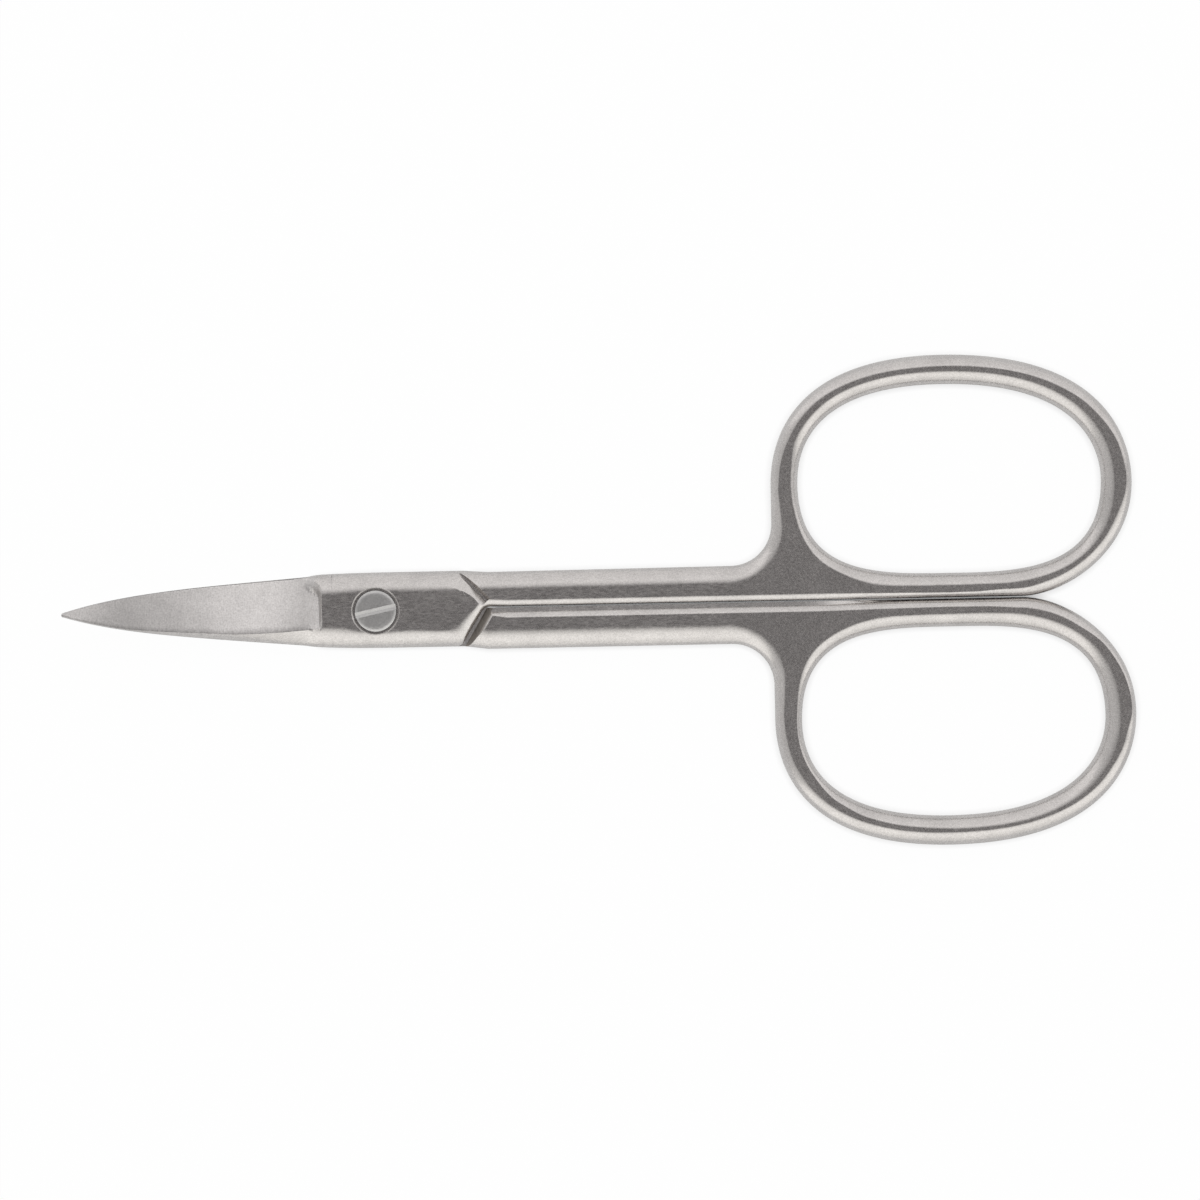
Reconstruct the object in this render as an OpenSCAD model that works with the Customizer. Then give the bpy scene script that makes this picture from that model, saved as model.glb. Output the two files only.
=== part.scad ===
// Small grooming scissors: two crossed forgings, each a blade, a half-thickness lap, a shank and
// a finger ring, turning on one slotted screw. The pivot axis is at the origin, the blades point
// along -X and the underside rests on z = 0.

/* [Overall] */
// Thickness of the closed lap, the shanks and the finger rings
whole_thickness = 2.8; // [2.6:0.1:3.2]

/* [Blades] */
// Length of a blade from the end of its lap to the tip
blade_length = 21.25; // [18:0.25:24]
// Half the width of a blade where it leaves the lap
blade_half_width = 2.98; // [2.8:0.02:3]
// How far the cutting edge stands in from the other blade's back edge
edge_inset = 0.1; // [0.04:0.02:0.2]
// Thickness of a blade where it leaves the lap
blade_thickness = 1.2; // [1:0.05:1.25]
// Thickness of a blade at the tip
tip_thickness = 0.34; // [0.25:0.01:0.45]
// Radius of the rounded tip
tip_radius = 0.26; // [0.2:0.02:0.34]
// Radius the blades curve up to
blade_curve_radius = 75; // [60:1:120]
// Width of the rounded back of a blade at the lap
back_round_width = 1.5; // [1.2:0.05:1.6]
// Gap left between each blade and the plane where the two halves meet
blade_clearance = 0.04; // [0.03:0.01:0.08]
// Depth of the hollow in the inner face of a blade
hollow_depth = 0.06; // [0.03:0.01:0.08]

/* [Lap] */
// Distance from the pivot to the end of the lap at the blade
lap_reach = 5; // [4.6:0.1:5.4]
// Half the width of the lap at its blade end
lap_end_half_width = 3.05; // [3.03:0.01:3.12]
// Half the width of the lap at the pivot
lap_half_width = 3.24; // [3.16:0.02:3.3]
// Distance from the pivot to the corner of the slanted lap edge
lap_corner_x = 7.15; // [6.8:0.05:7.4]
// Distance from the pivot to the inner end of the slanted lap edge
lap_edge_end_x = 9.15; // [8.9:0.05:9.4]
// Gap between the slanted lap edge and the shoulder beside it
shoulder_gap = 0.15; // [0.1:0.01:0.2]
// How far the shoulder slopes away from the lap edge
shoulder_slope = 0.58; // [0.4:0.02:0.7]
// Depth of the ornamental groove
groove_depth = 0.6; // [0.4:0.05:0.7]

/* [Shanks and finger rings] */
// Half the width of the two closed shanks together
shank_half_width = 3.3; // [3.26:0.02:3.4]
// Gap between the two shanks
shank_gap = 0.12; // [0.08:0.01:0.3]
// How far the gap lies from the middle, towards the front half's shank
parting_shift = 0.14; // [0:0.01:0.16]
// Distance from the pivot to the neck of the finger ring
neck_x = 33.4; // [31:0.2:35]
// Radius of the hollow corner between shank and ring
neck_radius = 3.5; // [3:0.1:4]
// Length of a finger ring outside
ring_length = 30.35; // [28:0.05:32]
// Width of a finger ring outside
ring_width = 20.4; // [18.4:0.1:22]
// Thickness of the ring band seen from above, at its far end
ring_band = 2.45; // [2.3:0.05:2.6]
// Thickness of the ring band beside the gap
ring_inner_band = 2.05; // [1.9:0.05:2.2]

/* [Edges] */
// Width of the rounded outer edges of the lap
lap_edge_width = 1.75; // [1.5:0.05:1.8]
// Depth of the rounded outer edges of the lap
lap_edge_depth = 1.1; // [0.9:0.05:1.2]
// Width of the rounded outer edge of a shank
shank_edge_width = 1.15; // [1:0.05:1.35]
// Depth of the rounded outer edge of a shank
shank_edge_depth = 0.95; // [0.8:0.05:1.1]
// Width of the rounded edges along the gap and the slanted lap edge
gap_edge_width = 0.66; // [0.5:0.02:0.7]
// Depth of the rounded edges along the gap
gap_edge_depth = 0.55; // [0.4:0.05:0.7]
// Width of the rounded edge of the neck
neck_edge_width = 0.75; // [0.6:0.05:0.9]
// Width of the rounded edges of the finger rings
ring_edge_width = 0.98; // [0.85:0.01:1.02]
// Depth of the rounded edges of the finger rings
ring_edge_depth = 1.15; // [1:0.05:1.2]

/* [Pivot screw] */
// Diameter of the screw head
head_diameter = 3.5; // [3.2:0.05:3.7]
// Thickness of the screw head
head_thickness = 0.78; // [0.7:0.02:0.9]
// Diameter of the shoulder the front half turns on
shoulder_diameter = 2.4; // [2.2:0.05:2.6]
// Diameter of the threaded end
thread_diameter = 1.9; // [1.7:0.05:2]
// Width of the screwdriver slot
slot_width = 0.48; // [0.4:0.02:0.6]
// Depth of the screwdriver slot
slot_depth = 0.26; // [0.2:0.02:0.4]

/* [Hidden] */
$fn = 96;

half_thickness = whole_thickness / 2;
gap_y = parting_shift + shank_gap / 2;
back_gap_y = shank_gap / 2 - parting_shift;
running_clearance = 0.03;
seat_clearance = 0.02;
thread_clearance = 0.01;
recess_clearance = 0.15;
recess_chamfer = 0.12;
head_round = 0.12;
screw_foot = 0.15;
slot_turn = 12;
cut_margin = 2;

// Steps along curves and round edges
edge_steps = 4;
curve_steps = 16;
flat_steps = 4;
fillet_steps = 8;
neck_steps = 3;
shank_steps = 6;
lap_steps = 6;
corner_steps = 2;
bend_steps = 3;
slant_steps = 2;
blade_steps = 16;
tip_steps = 4;
edge_angle = 78;

// Lap: slanted edge between its corner and the gap
lap_curve_end_x = 4;
corner_round = 0.5;
slant_corner = [lap_corner_x, -lap_half_width];
function slant_way(gap) = unit([lap_edge_end_x, gap] - slant_corner);
lap_shoulder_step = 0.22;
groove_stop = 0.42;
lap_curve_shares = [0.3, 0.45];

// Finger ring: where each quarter starts, and its handle shares
ring_top = gap_y + ring_width;
ring_end_x = neck_x + ring_length;
ring_mid_share = 0.48;
ring_start_share = 0.468;
ring_flat_share = 0.692;
inner_edge_share = 0.86;
left_edge_share = 1.08;
ring_mid_x = neck_x + ring_length * ring_mid_share;
ring_start_y = gap_y + ring_width * ring_start_share;
ring_flat_x = neck_x + ring_length * ring_flat_share;
web_step = 0.1;
web_x = neck_x + neck_edge_width + web_step;
web_end_x = web_x + 5 * web_step;
neck_band = 2.24;
hole_shift = 0.1;
hole_left = neck_x + neck_band;
hole_right = ring_end_x - ring_band - hole_shift;
hole_top = ring_top - ring_band;
hole_bottom = gap_y + ring_inner_band;
hole_rise = 0.2;
hole_mid_x = ring_mid_x - hole_shift;
hole_side_y = ring_start_y + hole_rise;
outer_shares = [[0.384, 0.858], [0.868, 0.329], [0.646, 0.364]];
hole_shares = [[0.422, 0.844], [0.923, 0.246], [1.06, 0.402], [0.46, 0.993]];
neck_depth = (shank_edge_depth + ring_edge_depth) / 2;
inner_ring_edge = ring_edge_width * inner_edge_share;
hole_left_edge = ring_edge_width * left_edge_share;

// Blade: how its width, hollow and back change from the lap (0) to the tip (1)
blade_taper_share = 0.55;
blade_taper_power = 4.6;
back_round_shares = [[0, 1], [0.1, 0.9], [0.24, 0.68], [0.38, 0.48], [0.52, 0.3], [0.62, 0.16], [0.7, 0.1], [1, 0.1]];
root_inside = 0.8;
tip_thinning_share = 0.4;
back_height_share = 0.42;
facet_round_share = 0.25;
tip_angle = 80;
curve_start = 4.6;
edge_face = 0.08;
back_angle = 74;

function unit(v) = v / norm(v);
function mix(a, b, t) = a + (b - a) * t;
function bezier(a, b, c, d, t) =
    pow(1 - t, 3) * a + 3 * pow(1 - t, 2) * t * b + 3 * (1 - t) * t * t * c + pow(t, 3) * d;

// Quarter of an oval that starts upright or level at p and ends the other way at q
function quarter(p, q, upright, shares, t) =
    let (d = q - p)
    upright
        ? bezier(p, p + [0, d[1] * shares[0]], q - [d[0] * shares[1], 0], q, t)
        : bezier(p, p + [d[0] * shares[0], 0], q - [0, d[1] * shares[1]], q, t);

// A row is a point of an outline, the width and depth of its rounded edge, and, where the edge
// turns a corner, the point where the flat begins
function line_rows(p, q, n, from_edge, to_edge) =
    [for (i = [0 : n - 1]) let (t = i / n) concat([mix(p, q, t)], mix(from_edge, to_edge, t))];
function quarter_rows(p, q, upright, shares, n, from_edge, to_edge) =
    [for (i = [0 : n - 1]) let (t = i / n)
        concat([quarter(p, q, upright, shares, t)], mix(from_edge, to_edge, t))];
function lap_curve(side, t) =
    let (p = [-lap_reach, lap_end_half_width], q = [lap_curve_end_x, lap_half_width])
    let (d = q - p)
    let (c = bezier(p, p + [d[0] * lap_curve_shares[0], d[1]], q - [d[0] * lap_curve_shares[1], 0], q, t))
    [c[0], side * c[1]];

lap_edge = [lap_edge_width, lap_edge_depth];
shank_edge = [shank_edge_width, shank_edge_depth];
gap_edge = [gap_edge_width, gap_edge_depth];
neck_edge = [neck_edge_width, neck_depth];
ring_edge = [ring_edge_width, ring_edge_depth];
ring_gap_edge = [inner_ring_edge, ring_edge_depth];

function end_row(side) =
    [
        [-lap_reach, side * lap_end_half_width],
        lap_edge_width,
        lap_edge_depth,
        [lap_shoulder_step - lap_reach, side * (lap_end_half_width - lap_edge_width)]
    ];

// Upper side, from the blade end of the lap to the neck of the ring
upper_rows = concat(
    [end_row(1)],
    [for (i = [1 : lap_steps - 1]) concat([lap_curve(1, i / lap_steps)], lap_edge)],
    line_rows([lap_curve_end_x, lap_half_width], [lap_corner_x - corner_round, lap_half_width], 1,
        lap_edge, lap_edge),
    line_rows([lap_corner_x - corner_round, lap_half_width], [lap_edge_end_x + corner_round, lap_half_width],
        corner_steps + slant_steps + bend_steps, lap_edge, shank_edge),
    line_rows([lap_edge_end_x + corner_round, lap_half_width], [neck_x - neck_radius, shank_half_width],
        shank_steps, shank_edge, shank_edge),
    [for (i = [0 : fillet_steps - 1]) let (a = 90 * i / fillet_steps)
        concat([[neck_x - neck_radius + neck_radius * sin(a),
            shank_half_width + neck_radius - neck_radius * cos(a)]],
            mix(shank_edge, neck_edge, i / fillet_steps))],
    line_rows([neck_x, shank_half_width + neck_radius], [neck_x, ring_start_y], neck_steps,
        neck_edge, neck_edge)
);

// Round the outside of the ring, back to the web beside the gap
function hole_low(t) = quarter([hole_mid_x, hole_bottom], [hole_left, hole_side_y], false, hole_shares[3], t);
function ring_rows(gap) = concat(
    quarter_rows([neck_x, ring_start_y], [ring_mid_x, ring_top], true, outer_shares[0], curve_steps,
        neck_edge, ring_edge),
    quarter_rows([ring_mid_x, ring_top], [ring_end_x, ring_start_y], false, outer_shares[1], curve_steps,
        ring_edge, ring_edge),
    quarter_rows([ring_end_x, ring_start_y], [ring_flat_x, gap], true, outer_shares[2],
        curve_steps - flat_steps, ring_edge, ring_gap_edge),
    line_rows([ring_flat_x, gap], [hole_mid_x, gap], flat_steps, ring_gap_edge, ring_gap_edge),
    [for (i = [0 : curve_steps - 1])
        let (t = i / curve_steps, s = (hole_low(t)[0] - hole_left) / (hole_mid_x - hole_left))
        concat([[mix(web_end_x, hole_mid_x, s), gap]], mix(gap_edge, ring_gap_edge, s * s))]
);

// Back along the gap and the slanted lap edge to the blade end of the lap
function soft_corner(a, c, b, t) = pow(1 - t, 2) * a + 2 * t * (1 - t) * c + t * t * b;
function lower_rows(gap) =
    let (slant_end = [lap_edge_end_x, gap], way = slant_way(gap))
    let (line_start = slant_corner + way * corner_round, line_end = slant_end - way * corner_round)
    let (flat_corner = slant_corner - gap_edge_width * [way[1], -way[0]]
        + way * (lap_edge_width - way[0] * gap_edge_width) / way[1])
    concat(
        line_rows([web_end_x, gap], [web_x, gap], neck_steps, gap_edge, gap_edge),
        line_rows([web_x, gap], [neck_x - neck_radius, gap], fillet_steps, gap_edge, gap_edge),
        line_rows([neck_x - neck_radius, gap], [lap_edge_end_x + corner_round, gap], shank_steps,
            gap_edge, gap_edge),
        [for (i = [0 : bend_steps - 1])
            concat([soft_corner(slant_end + [corner_round, 0], slant_end, line_end, i / bend_steps)],
                gap_edge)],
        line_rows(line_end, line_start, slant_steps, gap_edge, gap_edge),
        [for (i = [0 : corner_steps]) let (t = i / corner_steps)
            concat([soft_corner(line_start, slant_corner, slant_corner - [corner_round, 0], t)],
                mix(gap_edge, lap_edge, t),
                [soft_corner(flat_corner + way * corner_round / 2, flat_corner,
                    flat_corner - [corner_round, 0], t)])],
        [for (i = [0 : lap_steps - 1]) concat([lap_curve(-1, 1 - i / lap_steps)], lap_edge)],
        [end_row(-1)]
    );

hole = concat(
    quarter_rows([hole_left, hole_side_y], [hole_mid_x, hole_top], true, hole_shares[0], curve_steps,
        [hole_left_edge, ring_edge_depth], ring_edge),
    quarter_rows([hole_mid_x, hole_top], [hole_right, hole_side_y], false, hole_shares[1], curve_steps,
        ring_edge, ring_edge),
    quarter_rows([hole_right, hole_side_y], [hole_mid_x, hole_bottom], true, hole_shares[2], curve_steps,
        ring_edge, ring_gap_edge),
    quarter_rows([hole_mid_x, hole_bottom], [hole_left, hole_side_y], false, hole_shares[3], curve_steps,
        ring_gap_edge, [hole_left_edge, ring_edge_depth])
);

// Where the flat begins, square in from the outline by the width of the rounded edge
function flat_start(rows, i, side) =
    let (n = len(rows), along = unit(rows[(i + 1) % n][0] - rows[(i + n - 1) % n][0]))
    len(rows[i]) > 3 ? rows[i][3] : rows[i][0] + side * rows[i][1] * [along[1], -along[0]];

// One level of the body, from the lower flat (0) up to the upper flat (last)
levels = 2 * edge_steps + 2;
function level_points(rows, side, j) =
    let (up = j > edge_steps, k = up ? j - edge_steps - 1 : edge_steps - j)
    let (a = edge_angle * k / edge_steps)
    let (inward = (1 - cos(a)) / (1 - cos(edge_angle)), rise = sin(a) / sin(edge_angle))
    [for (i = [0 : len(rows) - 1])
        let (p = mix(rows[i][0], flat_start(rows, i, side), inward))
        let (h = half_thickness - rows[i][2] * (1 - rise))
        [p[0], p[1], half_thickness + (up ? h : -h)]];

// Shank, finger ring and lap at full thickness, with every outer edge rounded
module handle_body(gap) {
    ring = ring_rows(gap);
    outline = concat(upper_rows, ring, lower_rows(gap));
    n = len(upper_rows);
    m = len(ring);
    size = len(outline);
    around = len(hole);
    base = levels * size;
    points = concat(
        [for (j = [0 : levels - 1]) each level_points(outline, 1, j)],
        [for (j = [0 : levels - 1]) each level_points(hole, -1, j)]
    );
    function out(j, i) = j * size + i % size;
    function inn(j, i) = base + j * around + i % around;
    function cap(j) = concat(
        [for (i = [0 : n - 1]) [out(j, i), out(j, i + 1), out(j, size - 2 - i), out(j, size - 1 - i)]],
        [for (k = [0 : m - 1]) [out(j, n + k), out(j, n + k + 1), inn(j, k + 1), inn(j, k)]],
        [[out(j, n), inn(j, 0), out(j, n + m)]]
    );
    function turned(face) = [for (i = [len(face) - 1 : -1 : 0]) face[i]];
    faces = concat(
        cap(levels - 1),
        [for (f = cap(0)) turned(f)],
        [for (j = [0 : levels - 2], i = [0 : size - 1])
            [out(j, i), out(j, i + 1), out(j + 1, i + 1), out(j + 1, i)]],
        [for (j = [0 : levels - 2], i = [0 : around - 1])
            [inn(j, i + 1), inn(j, i), inn(j + 1, i), inn(j + 1, i + 1)]]
    );
    polyhedron(points, faces, convexity = 8);
}

// Blade: half width, thickness and width of the rounded back at a share s of its length
function blade_shape(s) = 1 - blade_taper_share * s - (1 - blade_taper_share) * pow(s, blade_taper_power);
function blade_half(s) = mix(tip_radius, blade_half_width, blade_shape(s));
function blade_depth(s) = mix(blade_thickness, tip_thickness, s);
function curve_rise(x, y) = pow(max(0, norm([x, y]) - curve_start), 2) / (2 * blade_curve_radius);

function blade_section(x, s, narrow, bend) =
    let (w = blade_half(s) * narrow, t = blade_depth(s) * (1 - tip_thinning_share * (1 - narrow)))
    let (e = w - edge_inset * narrow * (1 - s), hollow = hollow_depth * sin(180 * min(1, max(0, s))))
    let (r = back_round_width * lookup(s, back_round_shares) * narrow)
    let (f = edge_face * narrow, low = t * back_height_share)
    let (flats = concat(
        [[e, 0], [e - f, f]],
        [for (i = [1 : 3]) [mix(e - f, r - w, i / 4), mix(f, t, i / 4) + facet_round_share * f * sin(45 * i)]],
        [[r - w, t]],
        [for (i = [edge_steps - 1 : -1 : 0]) let (a = back_angle * i / edge_steps)
            [r * (1 - cos(a)) / (1 - cos(back_angle)) - w, mix(low, t, sin(a) / sin(back_angle))]],
        [[-w, 0]],
        [for (i = [1 : 3]) [mix(-w, e, i / 4), hollow * sin(45 * i)]]
    ))
    [for (q = flats) [x, q[0], half_thickness + blade_clearance + q[1] + bend * curve_rise(x, q[0])]];

module blade(bend) {
    straight = blade_length - tip_radius;
    sections = concat(
        [blade_section(root_inside - lap_reach, 0, 1, bend)],
        [for (i = [0 : blade_steps]) let (s = i / blade_steps)
            blade_section(-lap_reach - straight * s, s, 1, bend)],
        [for (i = [1 : tip_steps]) let (a = tip_angle * i / tip_steps)
            blade_section(-lap_reach - straight - tip_radius * sin(a) / sin(tip_angle), 1, cos(a), bend)]
    );
    m = len(sections[0]);
    last = len(sections) - 1;
    peak = 5;
    faces = concat(
        [for (k = [1 : m - 2]) [peak, (peak + k + 1) % m, (peak + k) % m]],
        [for (k = [1 : m - 2]) [last * m + peak, last * m + (peak + k) % m, last * m + (peak + k + 1) % m]],
        [for (j = [0 : last - 1], i = [0 : m - 1])
            [j * m + i, j * m + (i + 1) % m, (j + 1) * m + (i + 1) % m, (j + 1) * m + i]]
    );
    polyhedron([for (s = sections) each s], faces, convexity = 4);
}

// Room for the other half's lap, ending at the sloped shoulder
module lap_room(other_gap) {
    reach = lap_reach + lap_edge_end_x + cut_margin;
    slope = shoulder_slope * (half_thickness + cut_margin) / half_thickness;
    way = slant_way(other_gap);
    translate([lap_edge_end_x, -other_gap, 0])
        rotate([0, 0, atan2(way[0], way[1])])
            rotate([90, 0, 0])
                linear_extrude(height = 2 * reach, center = true)
                    polygon([
                        [-reach, -cut_margin],
                        [shoulder_gap + slope, -cut_margin],
                        [shoulder_gap, half_thickness],
                        [-reach, half_thickness]
                    ]);
}

// Ornamental groove that mirrors the slanted lap edge on the other side of the shank
module groove() {
    end = [lap_edge_end_x, gap_y + groove_stop];
    way = end - [lap_corner_x, lap_half_width];
    translate([end[0], end[1], whole_thickness - groove_depth])
        rotate([0, 0, atan2(way[1], way[0])])
            rotate([0, 0, -90])
                rotate([90, 0, 0])
                    linear_extrude(height = norm(way) + cut_margin)
                        polygon([[0, 0], [groove_depth, 2 * groove_depth], [-groove_depth, 2 * groove_depth]]);
}

// One forging lying as the front half does; the blade curves up for 1 and down for -1
module forging(bend, gap, other_gap) {
    difference() {
        handle_body(gap);
        lap_room(other_gap);
        groove();
    }
    blade(bend);
}

module front_half() {
    color("silver")
        difference() {
            forging(1, gap_y, back_gap_y);
            cylinder(d = shoulder_diameter + 2 * running_clearance, h = whole_thickness + cut_margin);
            translate([0, 0, whole_thickness - head_thickness - seat_clearance])
                cylinder(d = head_diameter + 2 * recess_clearance, h = head_thickness + cut_margin);
            translate([0, 0, whole_thickness - recess_chamfer])
                cylinder(d1 = head_diameter + 2 * recess_clearance,
                    d2 = head_diameter + 2 * recess_clearance + 4 * recess_chamfer, h = 2 * recess_chamfer);
        }
}

module back_half() {
    color("lightgray")
        difference() {
            translate([0, 0, whole_thickness])
                rotate([180, 0, 0])
                    forging(-1, back_gap_y, gap_y);
            translate([0, 0, -cut_margin])
                cylinder(d = thread_diameter + 2 * thread_clearance, h = whole_thickness + cut_margin);
        }
}

module pivot_screw() {
    head_radius = head_diameter / 2;
    thread_radius = thread_diameter / 2;
    neck = shoulder_diameter / 2;
    head_base = whole_thickness - head_thickness;
    color("gainsboro")
        difference() {
            rotate_extrude()
                polygon([
                    [0, screw_foot],
                    [thread_radius - screw_foot, screw_foot],
                    [thread_radius, 2 * screw_foot],
                    [thread_radius, half_thickness],
                    [neck, half_thickness],
                    [neck, head_base],
                    [head_radius, head_base],
                    [head_radius, whole_thickness - 1.6 * head_round],
                    [head_radius - head_round, whole_thickness - 0.5 * head_round],
                    [head_radius - 3 * head_round, whole_thickness - 0.1 * head_round],
                    [0, whole_thickness]
                ]);
            translate([0, 0, whole_thickness - slot_depth])
                rotate([0, 0, slot_turn])
                    translate([-head_diameter, -slot_width / 2, 0])
                        cube([2 * head_diameter, slot_width, slot_depth + cut_margin]);
        }
}

front_half();
back_half();
pivot_screw();
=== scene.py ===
import math
import bmesh
import bpy
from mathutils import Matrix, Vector


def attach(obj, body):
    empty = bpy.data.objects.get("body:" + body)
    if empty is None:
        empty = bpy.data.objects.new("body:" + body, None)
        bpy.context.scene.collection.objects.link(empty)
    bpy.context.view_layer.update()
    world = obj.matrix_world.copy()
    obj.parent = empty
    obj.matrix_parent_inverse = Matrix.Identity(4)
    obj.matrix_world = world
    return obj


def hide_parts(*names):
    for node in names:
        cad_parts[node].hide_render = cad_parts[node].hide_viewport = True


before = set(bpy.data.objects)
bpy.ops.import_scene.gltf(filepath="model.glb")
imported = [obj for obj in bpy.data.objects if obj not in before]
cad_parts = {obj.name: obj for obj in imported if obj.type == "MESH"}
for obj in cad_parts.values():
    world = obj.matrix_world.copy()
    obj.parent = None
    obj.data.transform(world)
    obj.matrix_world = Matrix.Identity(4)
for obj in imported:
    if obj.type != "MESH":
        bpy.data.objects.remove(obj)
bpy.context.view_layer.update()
mm = 0.001
touching = 1e-7    # points closer than this are one point
smoothBelow = math.radians(24)    # faces that meet at less than this shade as one

# lying on the floor, seen straight from above, turned a little in the picture
photoView = {
    "across": 100.75,        # mm seen from side to side at the height of the flats
    "centre": (18.86, 0.555),
    "flatsHeight": 2.6,
    "distance": 620,
    "roll": -1.1535,
    "sensor": 36,
    "clip": (0.01, 10),
}

print("camera")
bpy.ops.object.select_all(action="DESELECT")
bpy.ops.object.camera_add(
    location=(photoView["centre"][0] * mm, photoView["centre"][1] * mm,
              (photoView["distance"] + photoView["flatsHeight"]) * mm),
    rotation=(0, 0, math.radians(photoView["roll"])))
photoCamera = bpy.context.object
photoCamera.name = "photoCamera"
photoCamera.data.sensor_width = photoView["sensor"]
photoCamera.data.lens = photoView["sensor"] * photoView["distance"] / photoView["across"]
photoCamera.data.clip_start, photoCamera.data.clip_end = photoView["clip"]
bpy.context.scene.camera = photoCamera
bpy.context.scene.view_settings.view_transform = "Standard"


def deselectAll():
    if bpy.context.mode != "OBJECT":
        bpy.ops.object.mode_set(mode="OBJECT")
    bpy.ops.object.select_all(action="DESELECT")


def pickOnly(piece):
    deselectAll()
    piece.select_set(True)
    bpy.context.view_layer.objects.active = piece


def editAll(piece):
    pickOnly(piece)
    bpy.ops.object.mode_set(mode="EDIT")
    bpy.ops.mesh.select_all(action="SELECT")


def leaveEdit():
    bpy.ops.object.mode_set(mode="OBJECT")


def applyPlace(piece):
    pickOnly(piece)
    bpy.ops.object.transform_apply(location=True, rotation=True, scale=True)


def cutWith(piece, cutter):
    pickOnly(piece)
    bpy.ops.object.modifier_add(type="BOOLEAN")
    boolean = piece.modifiers[-1]
    boolean.object = cutter
    boolean.operation = "DIFFERENCE"
    boolean.solver = "EXACT"
    bpy.ops.object.modifier_apply(modifier=boolean.name)
    bpy.data.objects.remove(cutter)


def join(piece, other):
    pickOnly(piece)
    other.select_set(True)
    bpy.ops.object.join()


# light and floor: what the steel mirrors, as (how far sideways, brightness) from straight above to the side
studio = {
    "fill": 0.52,             # plain light on everything that isn't a mirror
    "overhead": (0.164, 0.157, 0.159),
    "top": ((0.2, 0.18), (0.34, 0.66), (0.43, 1.14), (0.53, 1.0), (0.66, 0.89), (0.85, 0.86), (1.0, 0.82)),
    "bottom": ((0.2, 0.18), (0.34, 0.78), (0.43, 1.18), (0.6, 1.22), (0.8, 1.2), (0.92, 1.02), (1.0, 0.92)),
    "ends": ((0.22, 0.18), (0.4, 0.46), (0.62, 0.6), (1.0, 0.66)),
    "lean": 0.2,              # how much further the light reaches round on the right
    "topTint": (1.0, 0.985, 0.98), "bottomTint": (1.0, 0.99, 0.965), "endsTint": (1.0, 0.99, 0.985),
    "lampAt": (-60, 260, 520), "lampSize": 420, "lampPower": 1.3, "lampTowards": (20, 0, 0),
    "floorWidth": 1600, "floorDrop": 0.02,
    "floorTone": (0.9, 0.9, 0.9, 1), "floorRough": 0.8, "floorShine": 0.1,
    "floorGlow": 0.975,
    "shadeReach": 0.85,       # mm of floor that darkens beside and between the halves
    "shadePower": 0.6, "shadeSamples": 8,
}
white = (1, 1, 1, 1)


def newNode(tree, kind, at, **sockets):
    node = tree.nodes.new(kind)
    node.location = at
    for name, value in sockets.items():
        node.inputs[name.replace("_", " ")].default_value = value
    return node


def mathNode(tree, at, operation, one, other=None):
    node = newNode(tree, "ShaderNodeMath", at)
    node.operation = operation
    for socket, value in zip(node.inputs, (one, other)):
        if isinstance(value, (int, float)):
            socket.default_value = value
        elif value is not None:
            tree.links.new(value, socket)
    return node.outputs[0]


def rampNode(tree, at, value, steps, tint=(1, 1, 1)):
    node = newNode(tree, "ShaderNodeValToRGB", at)
    elements = node.color_ramp.elements
    while len(elements) < len(steps):
        elements.new(0.5)
    for element, (place, brightness) in zip(elements, steps):
        element.position = place
        element.color = (brightness * tint[0], brightness * tint[1], brightness * tint[2], 1)
    tree.links.new(value, node.inputs["Fac"])
    return node


# a side of the room, which starts as dark as it is overhead
def roomSide(tree, at, towards, name):
    side = rampNode(tree, at, towards, studio[name], studio[name + "Tint"])
    side.color_ramp.elements[0].color = (*studio["overhead"], 1)
    return side.outputs["Color"]


def lighter(tree, at, one, other):
    node = newNode(tree, "ShaderNodeMix", at)
    node.data_type = "RGBA"
    node.blend_type = "LIGHTEN"
    node.inputs["Factor"].default_value = 1.0
    tree.links.new(one, node.inputs["A"])
    tree.links.new(other, node.inputs["B"])
    return node.outputs[2]


def mixShaders(tree, at, share, one, other):
    node = newNode(tree, "ShaderNodeMixShader", at)
    for socket, value in zip(node.inputs, (share, one.outputs[0], other.outputs[0])):
        tree.links.new(value, socket)
    return node


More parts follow.
